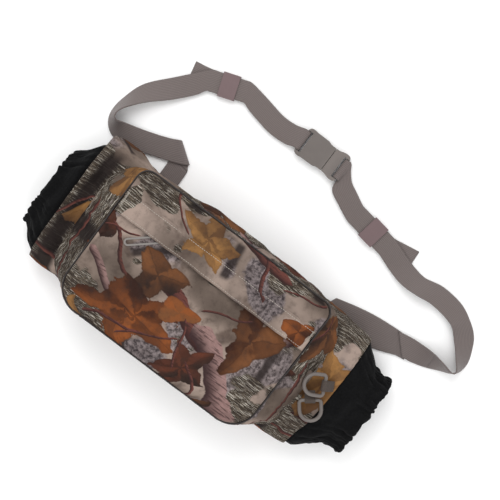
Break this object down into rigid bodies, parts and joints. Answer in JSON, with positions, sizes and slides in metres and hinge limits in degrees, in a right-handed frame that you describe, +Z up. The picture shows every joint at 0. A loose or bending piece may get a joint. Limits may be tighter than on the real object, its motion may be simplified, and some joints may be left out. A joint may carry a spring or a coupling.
{
  "type": "hand warmer muff",
  "caption": "Insulated hand warmer muff with gathered fleece cuffs, a zipped box pocket on the front and a buckled webbing waist belt, laid flat on its back.",
  "frame": {"origin": "middle of the flat back of the muff, which rests on the floor", "axes": "+X along the muff towards the right cuff, +Y towards the belt side, +Z up through the pocket"},
  "size_m": [0.5059, 0.3194, 0.0867],
  "materials": {
    "camo_cloth": "printed brushed polyester with leaf and branch camouflage",
    "black_fleece": "black fleece, soft and matt",
    "wadding": "loose white polyester wadding",
    "elastic": "woven elastic",
    "taupe_webbing": "ribbed polypropylene webbing, slight sheen",
    "grey_plastic": "moulded acetal, satin",
    "keeper_plastic": "moulded mauve-brown plastic, satin",
    "zip_tape": "woven black tape",
    "zip_teeth": "nylon coil",
    "zip_metal": "grey painted die casting"
  },
  "bodies": {
    "muff": {"muff_shell": "camo_cloth", "pocket_gusset": "camo_cloth", "pocket_lower_panel": "camo_cloth", "pocket_upper_panel": "camo_cloth", "pocket_flap": "camo_cloth", "d_ring_tab_upper": "camo_cloth", "d_ring_tab_lower": "camo_cloth", "muff_lining": "black_fleece", "warmer_pocket": "black_fleece", "cuff_left": "black_fleece", "cuff_right": "black_fleece", "muff_insulation": "wadding", "cuff_elastic_left": "elastic", "cuff_elastic_right": "elastic", "zip_tape_lower": "zip_tape", "zip_tape_upper": "zip_tape", "pocket_piping": "zip_tape", "zip_teeth_lower": "zip_teeth", "zip_teeth_upper": "zip_teeth", "zip_stop_left": "zip_teeth", "zip_stop_right": "zip_teeth", "belt_anchor_left": "taupe_webbing", "wing_right": "taupe_webbing"},
    "belt": {"webbing_left": "taupe_webbing", "webbing_right": "taupe_webbing", "tail_right": "taupe_webbing", "buckle_female": "grey_plastic"},
    "buckle_male": {"buckle_male": "grey_plastic", "webbing_right_loop": "taupe_webbing"},
    "prong_back": {"prong_back": "grey_plastic"},
    "prong_front": {"prong_front": "grey_plastic"},
    "keeper_left": {"keeper_left": "keeper_plastic"},
    "keeper_right": {"keeper_right": "keeper_plastic"},
    "d_ring_upper": {"d_ring_upper": "grey_plastic"},
    "d_ring_lower": {"d_ring_lower": "grey_plastic"},
    "zip_slider": {"zip_slider": "zip_metal"},
    "zip_pull": {"zip_pull": "zip_metal"}
  },
  "joints": [
    {"name": "belt_hinge", "type": "hinge", "parent": "muff", "child": "belt", "pos_m": [0, 0.092, 0.001], "axis": [1, 0, 0], "range_deg": [0, 80]},
    {"name": "buckle_release", "type": "slide", "parent": "belt", "child": "buckle_male", "axis": [1, 0, 0], "range_m": [0, 0.024], "deforming": ["webbing_right_loop", "prong_back", "prong_front"]},
    {"name": "prong_back_squeeze", "type": "hinge", "parent": "buckle_male", "child": "prong_back", "pos_m": [0.0262, 0.2234, 0.005], "axis": [0, 0, 1], "range_deg": [0, 10], "stiffness_Nm_per_rad": 0.02},
    {"name": "prong_front_squeeze", "type": "hinge", "parent": "buckle_male", "child": "prong_front", "pos_m": [0.0262, 0.2006, 0.005], "axis": [0, 0, 1], "range_deg": [-10, 0], "stiffness_Nm_per_rad": 0.02},
    {"name": "keeper_left_slide", "type": "slide", "parent": "belt", "child": "keeper_left", "axis": [0.9478, 0.319, 0], "range_m": [-0.008, 0.008]},
    {"name": "keeper_right_slide", "type": "slide", "parent": "belt", "child": "keeper_right", "axis": [0.9874, -0.1582, 0], "range_m": [-0.008, 0.008]},
    {"name": "d_ring_upper_swing", "type": "hinge", "parent": "muff", "child": "d_ring_upper", "pos_m": [0.174, 0.01, 0.0607], "axis": [-0.4384, 0.8988, 0], "range_deg": [0, 100]},
    {"name": "d_ring_lower_swing", "type": "hinge", "parent": "muff", "child": "d_ring_lower", "pos_m": [0.1715, -0.0135, 0.0572], "axis": [-0.7826, -0.6225, 0], "range_deg": [0, 85]},
    {"name": "zip_slide", "type": "slide", "parent": "muff", "child": "zip_slider", "axis": [1, 0, 0], "range_m": [-0.045, 0.16]},
    {"name": "zip_pull_swing", "type": "hinge", "parent": "zip_slider", "child": "zip_pull", "pos_m": [-0.058, 0.043, 0.0834], "axis": [0, 0, 1], "range_deg": [-38, 45]}
  ],
  "couplings": [
    {"joint": "prong_front_squeeze", "follows": "prong_back_squeeze", "ratio": -1}
  ]
}
